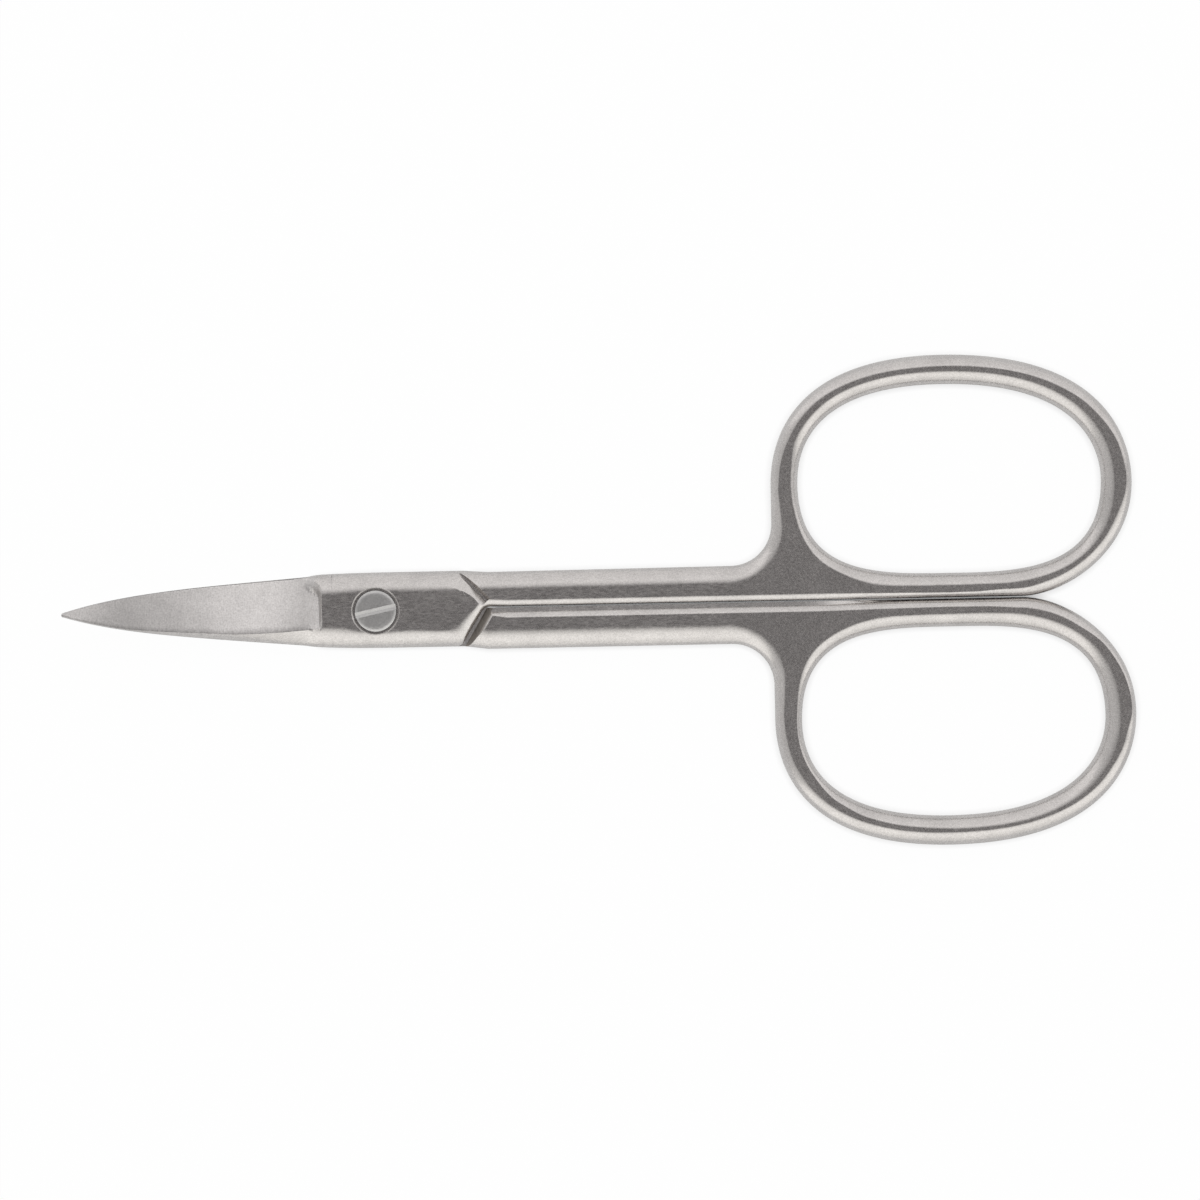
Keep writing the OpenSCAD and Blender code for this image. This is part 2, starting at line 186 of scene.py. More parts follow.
def buildWorld():
    world = bpy.data.worlds.new("studioRoom")
    bpy.context.scene.world = world
    world.use_nodes = True
    tree = world.node_tree
    tree.nodes.clear()
    out = newNode(tree, "ShaderNodeOutputWorld", (550, 0))
    direction = newNode(tree, "ShaderNodeTexCoord", (-1300, 0))
    split = newNode(tree, "ShaderNodeSeparateXYZ", (-1100, 0))
    tree.links.new(direction.outputs["Generated"], split.inputs[0])
    x, y = split.outputs["X"], split.outputs["Y"]
    along = mathNode(tree, (-900, -300), "ABSOLUTE", x)
    leaning = mathNode(tree, (-950, 100), "MULTIPLY", x, studio["lean"])
    up = mathNode(tree, (-850, 200), "ADD", leaning, y)
    down = mathNode(tree, (-850, -50), "SUBTRACT", leaning, y)
    top = roomSide(tree, (-700, 200), up, "top")
    bottom = roomSide(tree, (-700, -50), down, "bottom")
    ends = roomSide(tree, (-700, -300), along, "ends")
    room = lighter(tree, (-250, -100), ends, lighter(tree, (-400, 0), top, bottom))
    paths = newNode(tree, "ShaderNodeLightPath", (-300, 400))
    mirrored = newNode(tree, "ShaderNodeBackground", (-50, 0), Strength=1.0)
    tree.links.new(room, mirrored.inputs["Color"])
    fill = newNode(tree, "ShaderNodeBackground", (-50, -200), Color=white, Strength=studio["fill"])
    backdrop = newNode(tree, "ShaderNodeBackground", (-50, 200), Color=white, Strength=1.0)
    lit = mixShaders(tree, (150, 0), paths.outputs["Is Glossy Ray"], fill, mirrored)
    seen = mixShaders(tree, (350, 0), paths.outputs["Is Camera Ray"], lit, backdrop)
    tree.links.new(seen.outputs[0], out.inputs["Surface"])


def buildLamp():
    place = Vector(studio["lampAt"]) * mm
    towards = Vector(studio["lampTowards"]) * mm - place
    bpy.ops.object.light_add(type="AREA", location=place,
                             rotation=towards.to_track_quat("-Z", "Y").to_euler())
    lamp = bpy.context.object
    lamp.name = "softLamp"
    lamp.data.shape = "SQUARE"
    lamp.data.size = studio["lampSize"] * mm
    lamp.data.energy = studio["lampPower"]
    lamp.visible_glossy = False


def buildFloor():
    bpy.ops.mesh.primitive_plane_add(size=studio["floorWidth"] * mm,
                                     location=(0, 0, -studio["floorDrop"] * mm))
    floor = bpy.context.object
    floor.name = "paleFloor"
    applyPlace(floor)
    paper = bpy.data.materials.new("paleFloorPaper")
    paper.use_nodes = True
    tree = paper.node_tree
    matt = tree.nodes["Principled BSDF"]
    matt.inputs["Base Color"].default_value = studio["floorTone"]
    matt.inputs["Roughness"].default_value = studio["floorRough"]
    matt.inputs["Specular IOR Level"].default_value = studio["floorShine"]
    glow = newNode(tree, "ShaderNodeEmission", (0, -300), Color=white, Strength=1.0)
    paths = newNode(tree, "ShaderNodeLightPath", (-500, 300))
    sheltered = newNode(tree, "ShaderNodeAmbientOcclusion", (-500, 600), Distance=studio["shadeReach"] * mm)
    sheltered.samples = studio["shadeSamples"]
    softened = mathNode(tree, (-300, 600), "POWER", sheltered.outputs["AO"], studio["shadePower"])
    seen = mathNode(tree, (-200, 300), "MULTIPLY", paths.outputs["Is Camera Ray"], softened)
    share = mathNode(tree, (0, 300), "MULTIPLY", seen, studio["floorGlow"])
    blend = mixShaders(tree, (200, 0), share, matt, glow)
    tree.links.new(blend.outputs[0], tree.nodes["Material Output"].inputs["Surface"])
    floor.data.materials.append(paper)


print("light and floor")
buildWorld()
buildLamp()
buildFloor()

# finishes: sizes in mm; the grain is so many times longer along x, y and z, on the shank and at the ring
finishes = {
    "satinSteel": {"tone": (0.645, 0.622, 0.608), "rough": 0.27, "grain": 0.11, "depth": 0.0016,
                   "shankGrain": (4, 1, 1), "ringGrain": (1, 1, 1),
                   "speckle": 0.12, "cloud": 2.4, "cloudy": 0.06},
    "groundSteel": {"tone": (0.7, 0.68, 0.67), "rough": 0.36, "grain": 0.1, "depth": 0.0026,
                    "shankGrain": (1, 6, 1), "ringGrain": (1, 6, 1),
                    "speckle": 0.14, "cloud": 1.8, "cloudy": 0.05},
    # the duller steel of the shoulder where the halves meet; its darker brown-grey tone and matt share are
    # painted shade for the shaded channel there
    "shadedMatedSteel": {"tone": (0.37, 0.34, 0.31), "rough": 0.42, "grain": 0.1, "depth": 0.003, "metal": 0.5,
                   "shankGrain": (1, 1, 1), "ringGrain": (1, 1, 1),
                   "speckle": 0.12, "cloud": 1.0, "cloudy": 0.1},
    "screwSteel": {"tone": (0.6, 0.595, 0.59), "rough": 0.38, "grain": 0.12, "depth": 0.002,
                   "shankGrain": (1, 1, 1), "ringGrain": (1, 1, 1),
                   "speckle": 0.07, "cloud": 0.9, "cloudy": 0.08},
}
# what all the finishes share
allSteels = {
    "shankEnd": 29, "ringStart": 34,    # mm; the grain changes over between these
    "speckleSize": 0.13,
    "streaky": 0.7,                     # streaks, as a share of the speckle
    "uneven": 0.05,                     # how much the polish varies
    "noiseRange": (0.3, 0.7),
}
# painted sheen: the blade's ground steel is made lightest in its middle, standing in for the light the curved
# blade mirrors; brightness by the place from tip to root
paintedBladeSheen = {
    "tipX": -27, "rootX": -4.5,
    "steps": ((0.0, 0.98), (0.11, 0.84), (0.19, 0.74), (0.27, 0.74), (0.4, 0.85), (0.53, 0.99), (0.67, 1.19),
              (0.76, 1.18), (0.84, 1.13), (0.93, 0.9), (1.0, 0.95)),
}


def noiseNode(tree, at, place, size, detail, roughness):
    node = newNode(tree, "ShaderNodeTexNoise", at, Scale=1 / (size * mm), Detail=detail, Roughness=roughness)
    tree.links.new(place, node.inputs["Vector"])
    return node.outputs["Fac"]


def grainNoise(tree, at, place, size, longer):
    turn = newNode(tree, "ShaderNodeMapping", at, Scale=[1 / s for s in longer])
    tree.links.new(place, turn.inputs["Vector"])
    return noiseNode(tree, (at[0] + 200, at[1]), turn.outputs[0], size, 3.0, 0.6)


def spread(tree, at, value, middle, reach):
    low, high = allSteels["noiseRange"]
    node = newNode(tree, "ShaderNodeMapRange", at, From_Min=low, From_Max=high, To_Min=middle - reach,
                   To_Max=middle + reach)
    tree.links.new(value, node.inputs["Value"])
    return node.outputs["Result"]


def shareBetween(tree, at, value, start, end):
    node = newNode(tree, "ShaderNodeMapRange", at, From_Min=start * mm, From_Max=end * mm)
    tree.links.new(value, node.inputs["Value"])
    return node.outputs["Result"]


def steelFinish(name):
    look, every = finishes[name], allSteels
    steel = bpy.data.materials.new(name)
    steel.use_nodes = True
    tree = steel.node_tree
    link = tree.links.new
    shader = tree.nodes["Principled BSDF"]
    shader.inputs["Metallic"].default_value = look.get("metal", 1.0)
    place = newNode(tree, "ShaderNodeTexCoord", (-1700, 0)).outputs["Object"]
    split = newNode(tree, "ShaderNodeSeparateXYZ", (-1500, 400))
    link(place, split.inputs[0])
    x = split.outputs["X"]
    grain = newNode(tree, "ShaderNodeMix", (-1000, 0))
    link(shareBetween(tree, (-1300, 400), x, every["shankEnd"], every["ringStart"]), grain.inputs["Factor"])
    link(grainNoise(tree, (-1500, 100), place, look["grain"], look["shankGrain"]), grain.inputs["A"])
    link(grainNoise(tree, (-1500, -200), place, look["grain"], look["ringGrain"]), grain.inputs["B"])
    clouds = noiseNode(tree, (-1300, -500), place, look["cloud"], 5.0, 0.55)
    speckles = noiseNode(tree, (-1300, -800), place, every["speckleSize"], 2.0, 0.5)
    speckled = spread(tree, (-1000, -800), speckles, 1.0, look["speckle"])
    clouded = spread(tree, (-1000, -500), clouds, 1.0, look["cloudy"])
    streaked = spread(tree, (-800, -200), grain.outputs[0], 1.0, look["speckle"] * every["streaky"])
    both = mathNode(tree, (-800, -600), "MULTIPLY", speckled, clouded)
    shade = mathNode(tree, (-600, -500), "MULTIPLY", both, streaked)
    if name == "groundSteel":
        # painted sheen: the ground steel is made lighter and darker along the blade
        along = shareBetween(tree, (-1000, 600), x, paintedBladeSheen["tipX"], paintedBladeSheen["rootX"])
        paintedSheen = rampNode(tree, (-800, 600), along, paintedBladeSheen["steps"])
        shade = mathNode(tree, (-500, 500), "MULTIPLY", paintedSheen.outputs["Color"], shade)
    tone = newNode(tree, "ShaderNodeMix", (-300, -300))
    tone.data_type = "RGBA"
    tone.blend_type = "MULTIPLY"
    tone.inputs["Factor"].default_value = 1.0
    tone.inputs["A"].default_value = (*look["tone"], 1)
    link(shade, tone.inputs["B"])
    link(tone.outputs[2], shader.inputs["Base Color"])
    polish = spread(tree, (-600, 200), grain.outputs[0], look["rough"], every["uneven"])
    link(polish, shader.inputs["Roughness"])
    bump = newNode(tree, "ShaderNodeBump", (-300, -600), Strength=1.0, Distance=look["depth"] * mm)
    link(grain.outputs[0], bump.inputs["Height"])
    link(bump.outputs["Normal"], shader.inputs["Normal"])
    return steel


print("finishes")
steels = {name: steelFinish(name) for name in finishes}

# the two forgings, in mm: both are built as the upper one, with the screw at the origin and the ring
# to the right, and the back half is then turned over
forging = {
    "thick": 2.8,
    "lapReach": 5, "lapHalf": 3.24, "lapCurveEnd": 4, "lapCurveHandles": (0.3, 0.45),
    # width of the lap's edges along its length, above and below, and their depth
    "lapTops": ((-6, 1.74), (-2.6, 1.74), (-1, 1.62), (1, 1.62), (3, 1.7), (9, 1.67)),
    "lapBottoms": ((-6, 1.74), (-2.8, 1.74), (-1.2, 1.42), (0.5, 1.32), (3, 1.5), (5, 1.4), (9, 1.4)),
    "lapDepth": 1.15,
    "lapStraightEnd": 7.4, "shankStart": 9.4, "cornerX": 7.15, "slantEndX": 9.15, "cornerRound": 0.5,
    "neckX": 33.4, "neckRound": 3.5, "ringBase": 0.2,
    "lapLowEnd": 5.2, "gapAfterNeck": 4, "gapBeforeSlant": 2,
    "ringLength": 30.35, "ringTop": 20.6, "midShare": 0.48, "startShare": 0.468, "flatShare": 0.692,
    "outerHandles": ((0.384, 0.858), (0.868, 0.329), (0.646, 0.364)),
    "neckBand": 2.24, "farBand": 2.45, "innerBand": 2.05, "holeShift": 0.1, "holeRise": 0.2,
    "holeHandles": ((0.422, 0.844), (0.923, 0.246), (1.06, 0.402), (0.46, 0.993)),
    "ringMiddle": (48.4, 10.4), "ringSeam": -100,
    "endStep": 0.22, "edgeAngle": 80, "edgeSteps": 14, "flatLoop": 1.04,
    # the ledge beside the gap: where it starts and ends, and how long it takes to fade in and out
    "ledgeDrop": 0.26, "ledgeFall": 0.035, "ledgeAngle": 45, "ledgeSteps": 3,
    "ledgeFrom": 9.3, "ledgeTo": 47, "ledgeIn": 0.4, "ledgeOut": 12,
    "lapClear": 0.01, "shoulderGap": 0.21, "shoulderSlope": 0.54, "shoulderLip": 0.22,
    # the shoulder's rounded foot: shares of the slope and of the lip outwards, and of the lip upwards
    "shoulderFoot": ((0.93, 0, 0.8), (1, 0.35, 0.25), (1, 1, 0)),
    "roomBefore": 20, "roomAfter": 12, "cutOver": 1,
    "grooveStart": (6.92, 3.24), "grooveEnd": (9.36, 0.64),
    "grooveDepth": 0.6, "grooveLeft": 0.14, "grooveRight": 0.36, "grooveFloor": (0.05, -0.08),
    "lipDrop": 0.36, "lipPower": 1.1, "lipSteps": (0, 0.15, 0.3, 0.5, 0.75, 1),
    # width of the lip by the distance along the groove
    "lips": ((-1.3, 3.4), (0.5, 1.63), (0.98, 1.17), (1.3, 0.98), (1.62, 0.82), (2.19, 0.65), (2.66, 0.6),
             (3.1, 0.62), (3.57, 0.62)),
}
# how many steps each part of the outline takes
outlineSteps = {
    "lap": 24, "short": 10, "shank": 36, "neck": 24, "outer": 48, "outerLast": 40, "inner": 44,
    "underRing": 12, "ringToGap": 24, "gap": 50, "gapEnd": 6,
}
# rounded edges as (width, depth); the two halves were ground by hand and differ a little.
# Round a finger ring the width goes by the angle seen from the ring's middle, from its right side
ownEdges = {
    "front": {"gap": 0.2, "lapEnds": (3.14, 2.92), "lapHalves": (3.25, 3.1), "shankHalves": (3.1, 3.2),
              "lean": 1, "gapLedge": 0, "shank": (1.48, 1.0), "gapSide": (0.54, 0.42), "slant": (0.62, 0.55),
              "slantWide": (1.15, 0.8), "neck": (0.9, 1.05),
              "ringDepth": 1.15, "ringGapDepth": 0.8, "holeDepth": 1.15, "holeGapDepth": 1.1,
              "rim": ((-92, 0.4), (-80, 0.43), (-64, 0.62), (-50, 0.86), (-17, 0.88), (-2, 0.5), (8, 0.6),
                      (26, 0.86), (40, 0.94), (80, 0.98), (110, 1.03), (128, 1.0), (152, 0.91), (162, 0.86),
                      (177, 0.68), (190, 0.56)),
              "holeRim": ((-90, 1.05), (-74, 1.02), (-57, 1.1), (-30, 1.03), (-9, 1.15), (5, 1.07),
                          (60, 1.07), (112, 1.03), (144, 1.0), (166, 0.92), (177, 0.6), (192, 0.55),
                          (215, 0.95), (232, 1.2), (250, 1.08), (270, 1.05))},
    "back": {"gap": -0.08, "lapEnds": (2.92, 3.05), "lapHalves": (3.1, 3.24), "shankHalves": (3.36, 3.36),
             "lean": -1, "gapLedge": 0.36, "shank": (1.62, 1.0), "gapSide": (0.86, 0.62), "slant": (0.62, 0.55),
             "slantWide": (1.15, 0.8), "neck": (0.9, 1.05),
             "ringDepth": 1.15, "ringGapDepth": 0.9, "holeDepth": 1.15, "holeGapDepth": 1.1,
             "rim": ((-92, 0.69), (-76, 0.71), (-56, 0.94), (-40, 0.82), (-26, 0.54), (-4, 0.4), (6, 0.74),
                     (20, 0.94), (50, 1.03), (85, 1.07), (118, 1.03), (150, 1.0), (160, 0.95), (170, 0.84),
                     (190, 0.72)),
             "holeRim": ((-90, 1.07), (-66, 1.13), (-54, 1.2), (-32, 1.12), (-2, 1.26), (14, 1.33),
                         (38, 1.26), (78, 1.14), (118, 1.04), (136, 0.98), (148, 0.8), (162, 0.52),
                         (186, 0.45), (210, 0.95), (233, 1.12), (249, 1.06), (270, 1.07))},
}


def mix(a, b, t):
    return a + (b - a) * t


def ease(t):
    t = min(1, max(0, t))
    return t * t * (3 - 2 * t)


def bezier(a, b, c, d, t):
    return (1 - t) ** 3 * a + 3 * (1 - t) ** 2 * t * b + 3 * (1 - t) * t * t * c + t ** 3 * d


def quarterPoint(p, q, upright, handles, t):
    d = q - p
    if upright:
        return bezier(p, p + Vector((0, d.y * handles[0])), q - Vector((d.x * handles[1], 0)), q, t)
    return bezier(p, p + Vector((d.x * handles[0], 0)), q - Vector((0, d.y * handles[1])), q, t)


def softCorner(a, c, b, t):
    return (1 - t) ** 2 * a + 2 * t * (1 - t) * c + t * t * b


# a row is [point, edge width, edge depth, where the flat starts or None]
def stretch(pointAt, steps, startEdge, endEdge):
    rows = []
    for i in range(steps):
        t = i / steps
        rows.append([pointAt(t), mix(startEdge[0], endEdge[0], t), mix(startEdge[1], endEdge[1], t), None])
    return rows


def straight(p, q, steps, startEdge, endEdge):
    return stretch(lambda t: mix(p, q, t), steps, startEdge, endEdge)


def quarter(p, q, upright, handles, steps, startEdge, endEdge):
    return stretch(lambda t: quarterPoint(p, q, upright, handles, t), steps, startEdge, endEdge)


def lapCurve(side, t, edges):
    p = Vector((-forging["lapReach"], edges["lapEnds"][side < 0]))
    q = Vector((forging["lapCurveEnd"], edges["lapHalves"][side < 0]))
    d = q - p
    c = bezier(p, p + Vector((d.x * forging["lapCurveHandles"][0], d.y)),
               q - Vector((d.x * forging["lapCurveHandles"][1], 0)), q, t)
    return Vector((c.x, side * c.y))


def readTable(table, x):
    for (x0, v0), (x1, v1) in zip(table, table[1:]):
        if x <= x1:
            return mix(v0, v1, max(0, (x - x0) / (x1 - x0)))
    return table[-1][1]


# the lap's edge at x, as (width, depth)
def lapEdge(side, x):
    return readTable(forging["lapTops" if side > 0 else "lapBottoms"], x), forging["lapDepth"]


def lapRow(p):
    return [p, *lapEdge(p.y, p.x), None]


def endRow(side, edges):
    x, y = -forging["lapReach"], edges["lapEnds"][side < 0]
    edge = lapEdge(side, x)
    return [Vector((x, side * y)), *edge, Vector((x + forging["endStep"], side * (y - edge[0])))]


# gives every row of a ring its edge width by its angle round the ring
def shapeRim(rows, widths):
    middle = Vector(forging["ringMiddle"])
    for row in rows:
        arm = row[0] - middle
        angle = math.degrees(math.atan2(arm.y, arm.x))
        if angle < forging["ringSeam"]:
            angle += 360
        angle = min(max(angle, widths[0][0]), widths[-1][0])
        for (a, w0), (b, w1) in zip(widths, widths[1:]):
            if a <= angle <= b:
                row[1] = mix(w0, w1, ease((angle - a) / (b - a)))
    return rows


# once round a half, from the lap's end past the ring and back along the gap
def traceOutline(edges):
    f, e, n = forging, edges, outlineSteps
    gap, neck, bend = e["gap"], f["neckX"], f["neckRound"]
    (half, low), (start, shank) = e["lapHalves"], e["shankHalves"]
    slant, slantWide, lapLow = e["slant"], e["slantWide"], lapEdge(-1, f["cornerX"])
    midX, endX = neck + f["ringLength"] * f["midShare"], neck + f["ringLength"]
    startY = mix(f["ringBase"], f["ringTop"], f["startShare"])
    deep = (0, e["ringDepth"])
    leftEdge, gapEdge = (e["rim"][-1][1], e["ringDepth"]), (e["rim"][0][1], e["ringGapDepth"])
    corner, slantEnd = Vector((f["cornerX"], -low)), Vector((f["slantEndX"], gap))
    way = (slantEnd - corner).normalized()
    outWay = Vector((way.y, -way.x))
    roundX, roundWay = Vector((f["cornerRound"], 0)), way * f["cornerRound"]
    flatCorner = corner - outWay * slantWide[0] + way * (lapLow[0] - way.x * slantWide[0]) / way.y

    # lap, shank and neck
    shankStart = Vector((f["shankStart"], start))
    ringLeft, ringTop, ringRight = Vector((neck, startY)), Vector((midX, f["ringTop"])), Vector((endX, startY))
    rows = [endRow(1, e)]
    rows += [lapRow(lapCurve(1, i / n["lap"], e)) for i in range(1, n["lap"])]
    rows += [lapRow(Vector((mix(f["lapCurveEnd"], f["lapStraightEnd"], i / n["short"]), half)))
             for i in range(n["short"])]
    rows += straight(Vector((f["lapStraightEnd"], half)), shankStart, n["short"],
                     lapEdge(1, f["lapStraightEnd"]), e["shank"])
    rows += straight(shankStart, Vector((neck - bend, shank)), n["shank"], e["shank"], e["shank"])
    rows += stretch(lambda t: Vector((neck - bend + bend * math.sin(t * math.pi / 2),
                                      shank + bend * (1 - math.cos(t * math.pi / 2)))),
                    n["neck"], e["shank"], e["neck"])
    rows += straight(Vector((neck, shank + bend)), ringLeft, n["short"], e["neck"], leftEdge)

    # ring
    ringFlat, underRing = Vector((neck + f["ringLength"] * f["flatShare"], gap)), Vector((midX, gap))
    ring = quarter(ringLeft, ringTop, True, f["outerHandles"][0], n["outer"], deep, deep)
    ring += quarter(ringTop, ringRight, False, f["outerHandles"][1], n["outer"], deep, deep)
    ring += quarter(ringRight, ringFlat, True, f["outerHandles"][2], n["outerLast"], deep, gapEdge)
    ring += straight(ringFlat, underRing, n["underRing"], gapEdge, gapEdge)
    rows += shapeRim(ring, e["rim"])

    # the side beside the gap and the slanted edge
    gapFrom, gapTo = Vector((neck + f["gapAfterNeck"], gap)), Vector((slantEnd.x + f["gapBeforeSlant"], gap))
    rows += straight(underRing, gapFrom, n["ringToGap"], gapEdge, e["gapSide"])
    rows += straight(gapFrom, gapTo, n["gap"], e["gapSide"], e["gapSide"])
    rows += straight(gapTo, slantEnd + roundX, n["gapEnd"], e["gapSide"], slant)
    rows += stretch(lambda t: softCorner(slantEnd + roundX, slantEnd, slantEnd - roundWay, t), n["short"],
                    slant, slant)
    slanted = straight(slantEnd - roundWay, corner + roundWay, n["short"], slant, slantWide)
    flatStart = slantEnd - roundWay - outWay * slant[0]
    for i, row in enumerate(slanted[1:], 1):
        row[3] = mix(flatStart, flatCorner + roundWay, i / n["short"])
    rows += slanted
    for i in range(n["short"] + 1):
        t = i / n["short"]
        rows.append([softCorner(corner + roundWay, corner, corner - roundX, t),
                     mix(slantWide[0], lapLow[0], t), mix(slantWide[1], lapLow[1], t),
                     softCorner(flatCorner + roundWay, flatCorner, flatCorner - roundX * 2, t)])
    rows.append(lapRow(Vector((f["lapLowEnd"], -low))))
    rows += [lapRow(lapCurve(-1, 1 - i / n["lap"], e)) for i in range(n["lap"])]
    rows.append(endRow(-1, e))
    return rows


def traceHole(edges):
    f, e, n = forging, edges, outlineSteps["inner"]
    neck, handles = f["neckX"], f["holeHandles"]
    midX = neck + f["ringLength"] * f["midShare"] - f["holeShift"]
    sideY = mix(f["ringBase"], f["ringTop"], f["startShare"]) + f["holeRise"]
    left = Vector((neck + f["neckBand"], sideY))
    right = Vector((neck + f["ringLength"] - f["farBand"] - f["holeShift"], sideY))
    top = Vector((midX, f["ringTop"] - f["farBand"]))
    bottom = Vector((midX, f["ringBase"] + f["innerBand"]))
    edge, gapEdge = (0, e["holeDepth"]), (0, e["holeGapDepth"])
    rows = quarter(left, top, True, handles[0], n, edge, edge)
    rows += quarter(top, right, False, handles[1], n, edge, edge)
    rows += quarter(right, bottom, True, handles[2], n, edge, gapEdge)
    rows += quarter(bottom, left, False, handles[3], n, gapEdge, edge)
    return shapeRim(rows, e["holeRim"])


# how far in and how far up a rounded edge is at its k-th step
def edgeStep(k):
    steps, last = forging["edgeSteps"], math.radians(forging["edgeAngle"])
    a = last * min(k, steps) / steps
    return (1 - math.cos(a)) / (1 - math.cos(last)), math.sin(a) / math.sin(last)


# the same for an edge that starts with a narrow ledge a little below the flat
def ledgeStep(k, row, ledge):
    width, depth = row[1], row[2]
    f = forging
    start = f["ledgeSteps"]
    if k <= start:
        return ledge / width * k / start, 1 - (f["ledgeDrop"] + f["ledgeFall"] * (1 - k / start)) / depth
    first, last = math.radians(f["ledgeAngle"]), math.radians(f["edgeAngle"])
    a = mix(first, last, (min(k, f["edgeSteps"]) - start) / (f["edgeSteps"] - start))
    inward = (math.cos(first) - math.cos(a)) / (math.cos(first) - math.cos(last))
    rise = (math.sin(a) - math.sin(first)) / (math.sin(last) - math.sin(first))
    return mix(ledge / width, 1, inward), 1 - f["ledgeDrop"] * (1 - rise) / depth


# from the middle plane up the wall and over the rounded edge to the flat
def edgeLoops(rows, side, ledge=0):
    f = forging
    half = f["thick"] / 2
    n = len(rows)
    flats = []
    for i, row in enumerate(rows):
        along = (rows[(i + 1) % n][0] - rows[i - 1][0]).normalized()
        square = Vector((along.y, -along.x)) * side
        flats.append(row[3] if row[3] is not None else row[0] + square * row[1])
    loops = [[Vector((r[0].x, r[0].y, 0)) * mm for r in rows]]
    for k in range(f["edgeSteps"] + 2):
        loop = []
        for row, flat in zip(rows, flats):
            inward, rise = edgeStep(k)
            x, y = row[0]
            # the ledge runs beside the gap, from the slanted edge until it fades out under the ring
            if ledge and y < 2 * f["ringBase"] and f["ledgeFrom"] < x < f["ledgeTo"]:
                share = ease((x - f["ledgeFrom"]) / f["ledgeIn"]) * ease((f["ledgeTo"] - x) / f["ledgeOut"])
                onLedge = ledgeStep(k, row, ledge)
                inward, rise = mix(inward, onLedge[0], share), mix(rise, onLedge[1], share)
            if k > f["edgeSteps"]:
                inward = f["flatLoop"]    # one more loop on the flat keeps its light even
            p = mix(row[0], flat, inward)
            loop.append(Vector((p.x, p.y, half - row[2] * (1 - rise))) * mm)
        loops.append(loop)
    return loops


# a ring of points for each loop, and faces from each loop to the next
def extrudeLoops(name, loops):
    deselectAll()
    bpy.ops.mesh.primitive_circle_add(vertices=len(loops[0]), radius=mm, fill_type="NOTHING")
    piece = bpy.context.object
    piece.name = name
    editAll(piece)
    net = bmesh.from_edit_mesh(piece.data)
    order = net.verts.layers.int.new("order")
    net.verts.ensure_lookup_table()
    for i, v in enumerate(net.verts):
        v[order] = i
        v.co = loops[0][i]
    bmesh.update_edit_mesh(piece.data)
    for loop in loops[1:]:
        bpy.ops.mesh.extrude_edges_indiv()
        net = bmesh.from_edit_mesh(piece.data)
        order = net.verts.layers.int["order"]
        for v in net.verts:
            if v.select:
                v.co = loop[v[order]]
        bmesh.update_edit_mesh(piece.data)
    leaveEdit()
    return piece


# closes open rims; a test picks the ones to close
def capRims(piece, test=None):
    pickOnly(piece)
    bpy.ops.object.mode_set(mode="EDIT")
    bpy.ops.mesh.select_mode(type="EDGE")
    bpy.ops.mesh.select_all(action="DESELECT")
    net = bmesh.from_edit_mesh(piece.data)
    for edge in net.edges:
        if len(edge.link_faces) == 1 and (test is None or all(test(v.co / mm) for v in edge.verts)):
            edge.select = True
    bmesh.update_edit_mesh(piece.data)
    bpy.ops.mesh.edge_face_add()
    bpy.ops.mesh.select_mode(type="VERT")
    bpy.ops.mesh.select_all(action="SELECT")
    bpy.ops.mesh.normals_make_consistent(inside=False)
    leaveEdit()


# the open rims at a height
def selectByHeight(piece, height):
    net = bmesh.from_edit_mesh(piece.data)
    for v in net.verts:
        v.select = abs(v.co.z - height) <= touching
    for e in net.edges:
        e.select = e.verts[0].select and e.verts[1].select and len(e.link_faces) < 2
    for v in net.verts:
        v.select = any(e.select for e in v.link_edges)
    bmesh.update_edit_mesh(piece.data)


def buildHandle(edges):
    body = extrudeLoops("handle", edgeLoops(traceOutline(edges), 1, edges["gapLedge"]))
    hole = extrudeLoops("ringHole", edgeLoops(traceHole(edges), -1))
    join(body, hole)
    bpy.ops.object.mode_set(mode="EDIT")
    bpy.ops.mesh.select_mode(type="EDGE")
    top = forging["thick"] / 2 * mm
    selectByHeight(body, top)
    bpy.ops.mesh.fill(use_beauty=True)
    bpy.ops.mesh.select_mode(type="VERT")
    leaveEdit()
    bpy.ops.object.modifier_add(type="MIRROR")
    mirror = body.modifiers[-1]
    mirror.use_axis = (False, False, True)
    mirror.merge_threshold = touching
    bpy.ops.object.modifier_apply(modifier=mirror.name)
    body.location.z = forging["thick"] / 2 * mm
    applyPlace(body)
    editAll(body)
    bpy.ops.mesh.remove_doubles(threshold=touching)
    bpy.ops.mesh.normals_make_consistent(inside=False)
    leaveEdit()
    return body


# a straight cutter: sections of (sideways, height) by their distance along a line on the floor plan
def buildCutter(name, start, way, sections):
    right = Vector((way.y, -way.x))
    loops = []
    for along, section in sections:
        place = start + way * along
        loops.append([Vector((place.x + right.x * u, place.y + right.y * u, z)) * mm
                      for u, z in section])
    cutter = extrudeLoops(name, loops)
    middle = (sections[0][0] + sections[-1][0]) / 2
    capRims(cutter, lambda c: (c.xy - start).dot(way) < middle)
    capRims(cutter)
    return cutter


# takes the other half's lap and the room for its blade out of the lower half of a forging
def cutLapRoom(body, otherGap):
    f = forging
    half, over = f["thick"] / 2 + f["lapClear"], f["cutOver"]
    corner, slantEnd = Vector((f["cornerX"], f["lapHalf"])), Vector((f["slantEndX"], -otherGap))
    way = (slantEnd - corner).normalized()
    away, slope, lip = f["shoulderGap"], f["shoulderSlope"], f["shoulderLip"]
    reach = -(f["lapReach"] + f["slantEndX"] + 2 * over)
    section = [(reach, half), (away, half)]
    section += [(away + slope * a + lip * b, lip * c) for a, b, c in f["shoulderFoot"]]
    section += [(away + slope + 4 * lip, -over), (reach, -over)]
    section = [(-u, z) for u, z in section]
    ends = (-f["roomBefore"], section), (f["roomAfter"], section)
    cutWith(body, buildCutter("lapRoom", slantEnd, way, ends))


